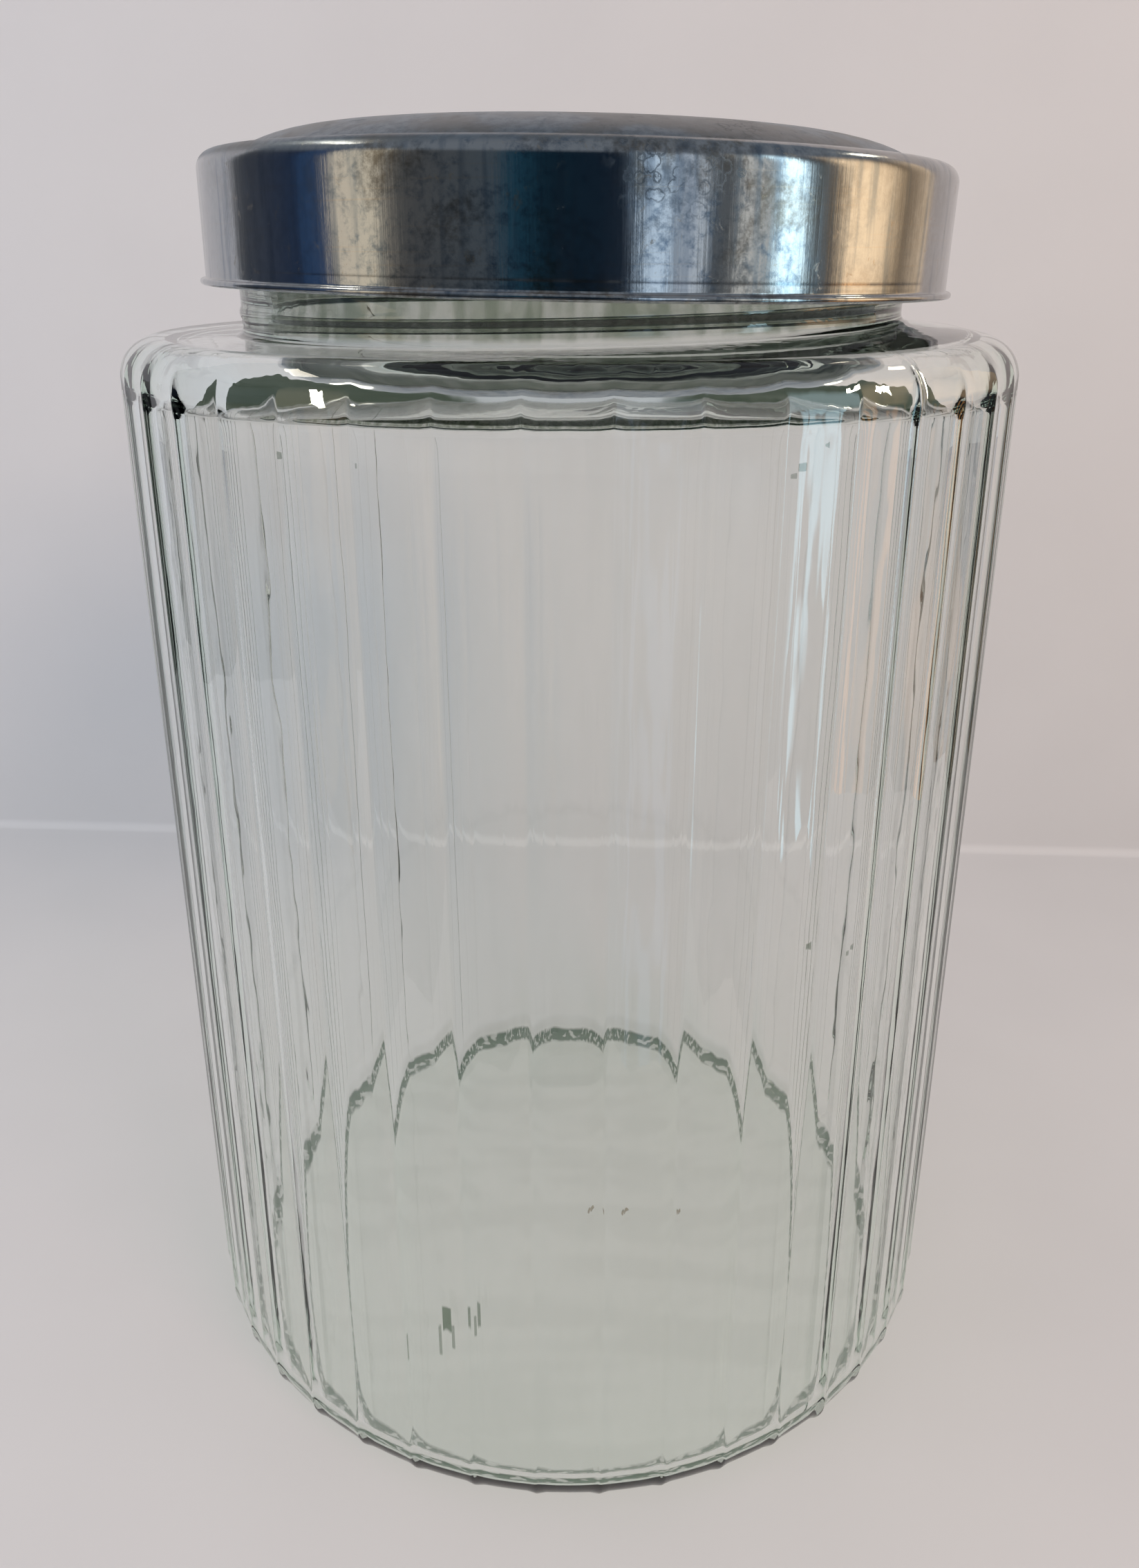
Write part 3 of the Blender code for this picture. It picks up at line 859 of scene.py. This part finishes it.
def makePaleSheet(name, oneSided):
    material, tree, shader = newMaterial(name)
    spot = tree.nodes.new("ShaderNodeTexCoord").outputs["Object"]
    grain = noiseNode(tree, spot, 30.0, 0.0)
    pale = studio["pale"]
    shade = (*(studio["shade"] * value for value in pale[:3]), 1.0)
    feed(tree, shader.inputs["Base Color"], mixColour(tree, grain, shade, pale))
    shader.inputs["Roughness"].default_value = studio["rough"]
    shader.inputs["Specular IOR Level"].default_value = 0.0
    if oneSided:
        clear = tree.nodes.new("ShaderNodeBsdfTransparent")
        mix = tree.nodes.new("ShaderNodeMixShader")
        feed(tree, mix.inputs[0], tree.nodes.new("ShaderNodeNewGeometry").outputs["Backfacing"])
        tree.links.new(shader.outputs[0], mix.inputs[1])
        tree.links.new(clear.outputs[0], mix.inputs[2])
        tree.links.new(mix.outputs[0], tree.nodes["Material Output"].inputs["Surface"])
    return material


def makeSheet():
    bend, fold = studio["bend"], studio["fold"]
    side = [(studio["front"], 0.0), (-0.1, 0.0), (0.1, 0.0)]
    side += arc(fold - bend, bend, bend, -90, 0, 8)
    side += [(fold, 0.1), (fold, 0.3), (fold, studio["high"])]
    points, faces = [], []
    slope = math.tan(math.radians(studio["turn"]))
    for y, z in side:
        lean = slope if y > 0.2 else 0.0
        points += [(x, y + lean * x, z) for x in (studio["left"], studio["right"])]
    for k in range(len(side) - 1):
        faces.append((2 * k, 2 * k + 1, 2 * k + 3, 2 * k + 2))
    mesh = bpy.data.meshes.new("paleSheet")
    mesh.from_pydata(points, [], faces)
    mesh.shade_smooth()
    mesh.materials.append(makePaleSheet("paleSheet", True))
    return linkMesh("paleSheet", mesh)


def makeWideFloor():
    disc = bmesh.new()
    bmesh.ops.create_circle(disc, cap_ends=True, segments=96, radius=studio["floorRadius"])
    bmesh.ops.translate(disc, vec=(0, 0, -studio["floorDrop"]), verts=disc.verts[:])
    mesh = bpy.data.meshes.new("wideFloor")
    disc.to_mesh(mesh)
    disc.free()
    mesh.materials.append(makePaleSheet("paleFloor", False))
    item = linkMesh("wideFloor", mesh)
    item.visible_glossy = False
    return item


paleSheet = makeSheet()
wideFloor = makeWideFloor()
print("floor and sheet ready")


# soft lights: one wide and high, a cool one left, a warm one right, and two small ones for the highlights

softLights = (
    # name, place, aim, width, height, watts, colour, whether it shows as a highlight
    ("wideTop", (-0.10, -0.10, 1.35), (0.0, 0.0, 0.0), 1.1, 1.0, 2.3, (0.97, 0.98, 1.0), False),
    ("coolLeft", (-1.0, -0.50, 0.50), (-0.1, 0.1, 0.1), 0.6, 0.6, 3.3, (0.76, 0.87, 1.0), False),
    ("warmFront", (0.70, -0.95, 0.95), (0.14, -0.18, 0.0), 0.5, 0.5, 7.4, (1.0, 0.71, 0.50), False),
    ("stripLeft", (-0.85, 0.25, 1.30), (0.0, 0.0, 0.25), 0.50, 0.07, 1.1, (1.0, 0.92, 0.76), True),
    ("lampRight", (0.85, 0.45, 1.05), (0.0, 0.0, 0.25), 0.16, 0.09, 0.6, (1.0, 0.90, 0.70), True),
)


def addLight(name, where, aim, width, height, watts, colour, shows):
    data = bpy.data.lights.new(name, "AREA")
    data.shape = "RECTANGLE"
    data.size, data.size_y = width, height
    data.energy = watts
    data.color = colour
    item = bpy.data.objects.new(name, data)
    bpy.context.scene.collection.objects.link(item)
    item.location = where
    item.rotation_euler = (Vector(aim) - Vector(where)).to_track_quat("-Z", "Y").to_euler()
    item.visible_camera = False
    item.visible_glossy = shows
    item.visible_transmission = shows
    return item


for setting in softLights:
    addLight(*setting)


# what the metal and the glass mirror: tall soft lights, by angle from the front towards the right

surround = {
    "open": (0.52, 0.52, 0.55, 1.0),        # seen plainly and through the glass
    "ambient": (0.345, 0.35, 0.385, 1.0),   # lights the matt surfaces
    "ceiling": (0.26, 0.29, 0.33, 1.0),
    "under": (0.40, 0.38, 0.38, 1.0),       # low down the dim lights fade and the bright ones gain
    "broken": (0.10, 0.11, 0.12, 1.0),      # low down, between what is mirrored
    "above": (0.045, 0.06, 0.04, 1.0),      # high up, as the glass shows it
    "tallLights": (
        (-180, (0.50, 0.50, 0.50)), (-122, (0.50, 0.50, 0.50)), (-115, (0.10, 0.11, 0.13)),
        (-88, (0.03, 0.05, 0.10)), (-84, (0.04, 0.09, 0.20)), (-75, (0.04, 0.09, 0.20)),
        (-73, (1.10, 0.95, 0.75)), (-59, (1.20, 1.05, 0.80)), (-56, (0.32, 0.29, 0.25)),
        (-50, (0.12, 0.12, 0.12)), (-24, (0.10, 0.125, 0.15)), (-18, (0.02, 0.08, 0.13)),
        (-8, (0.01, 0.03, 0.05)), (16, (0.01, 0.02, 0.04)), (19, (1.10, 1.35, 1.60)),
        (25, (1.10, 1.35, 1.60)), (27, (0.10, 0.12, 0.15)), (30, (1.00, 1.10, 1.25)),
        (34, (0.90, 1.00, 1.10)), (37, (0.12, 0.14, 0.16)), (44, (0.15, 0.16, 0.17)),
        (46, (1.00, 0.98, 0.92)), (53, (1.00, 0.98, 0.92)), (56, (0.25, 0.27, 0.30)),
        (59, (2.60, 3.40, 3.70)), (65, (2.60, 3.40, 3.70)), (69, (0.10, 0.11, 0.12)),
        (77, (0.12, 0.12, 0.12)), (84, (2.40, 1.75, 1.10)), (95, (2.20, 1.60, 1.00)),
        (108, (0.30, 0.22, 0.15)), (122, (1.15, 0.88, 0.62)),
    ),
}


def makeSurround():
    world = bpy.data.worlds.new("surround")
    bpy.context.scene.world = world
    world.use_nodes = True
    tree = world.node_tree
    direction = tree.nodes.new("ShaderNodeTexCoord").outputs["Generated"]
    parts = tree.nodes.new("ShaderNodeSeparateXYZ")
    feed(tree, parts.inputs[0], direction)
    x, y, high = parts.outputs
    turned = calc(tree, "ARCTAN2", x, calc(tree, "MULTIPLY", y, -1.0))
    share = calc(tree, "ADD", calc(tree, "DIVIDE", turned, 2 * math.pi), 0.5)
    ramp = tree.nodes.new("ShaderNodeValToRGB")
    feed(tree, ramp.inputs[0], share)
    stops = ramp.color_ramp.elements
    while len(stops) > 1:
        stops.remove(stops[-1])
    for number, (angle, colour) in enumerate(surround["tallLights"]):
        stop = stops[0] if number == 0 else stops.new(angle / 360 + 0.5)
        stop.position = angle / 360 + 0.5
        stop.color = (*colour, 1.0)
    overhead = remap(tree, high, 0.35, 0.65)
    squared = mixColour(tree, 1.0, ramp.outputs[0], ramp.outputs[0], "MULTIPLY")
    squared = mixColour(tree, 1.0, squared, surround["under"], "MULTIPLY")
    broken = noiseNode(tree, stretched(tree, direction, (30.0, 30.0, 5.0)), 1.0, 0.0)
    squared = mixColour(tree, remap(tree, broken, 0.58, 0.46), squared, surround["broken"])
    lowered = mixColour(tree, remap(tree, high, -0.03, -0.12), ramp.outputs[0], squared)
    mirrored = mixColour(tree, overhead, lowered, surround["ceiling"])

    # only the first mirroring shows the tall lights, later ones see the plain surround
    path = tree.nodes.new("ShaderNodeLightPath").outputs
    first = calc(tree, "MULTIPLY", path["Is Glossy Ray"], calc(tree, "LESS_THAN", path["Ray Depth"], 2.5))
    later = calc(tree, "SUBTRACT", path["Is Glossy Ray"], first)
    seen = calc(tree, "ADD", path["Is Transmission Ray"], later)
    seen = calc(tree, "ADD", path["Is Camera Ray"], seen, clamp=True)
    aside = remap(tree, calc(tree, "ABSOLUTE", x), 0.16, 0.30, 0.15, 1.0)
    upward = calc(tree, "MULTIPLY", remap(tree, high, 0.12, 0.40), aside)
    upward = calc(tree, "MULTIPLY", upward, path["Is Transmission Ray"])
    plain = mixColour(tree, upward, surround["open"], surround["above"])
    feed(tree, tree.nodes["Background"].inputs["Color"], mixColour(tree, seen, mirrored, plain))

    # matt surfaces get one even light, which is also quick to work out
    even = tree.nodes.new("ShaderNodeBackground")
    even.inputs["Color"].default_value = surround["ambient"]
    mix = tree.nodes.new("ShaderNodeMixShader")
    feed(tree, mix.inputs[0], path["Is Diffuse Ray"])
    tree.links.new(tree.nodes["Background"].outputs[0], mix.inputs[1])
    tree.links.new(even.outputs[0], mix.inputs[2])
    tree.links.new(mix.outputs[0], tree.nodes["World Output"].inputs["Surface"])
    world.cycles.sampling_method = "NONE"


makeSurround()

# how often light is followed; fewer mirrorings make the ribs' edges darker
follow = {
    "all": 18,
    "through": 18,
    "mirrored": 7,
    "matt": 1,
}

scene = bpy.context.scene
scene.view_settings.view_transform = "Standard"
scene.cycles.max_bounces = follow["all"]
scene.cycles.transmission_bounces = follow["through"]
scene.cycles.glossy_bounces = follow["mirrored"]
scene.cycles.diffuse_bounces = follow["matt"]
print("lights ready")
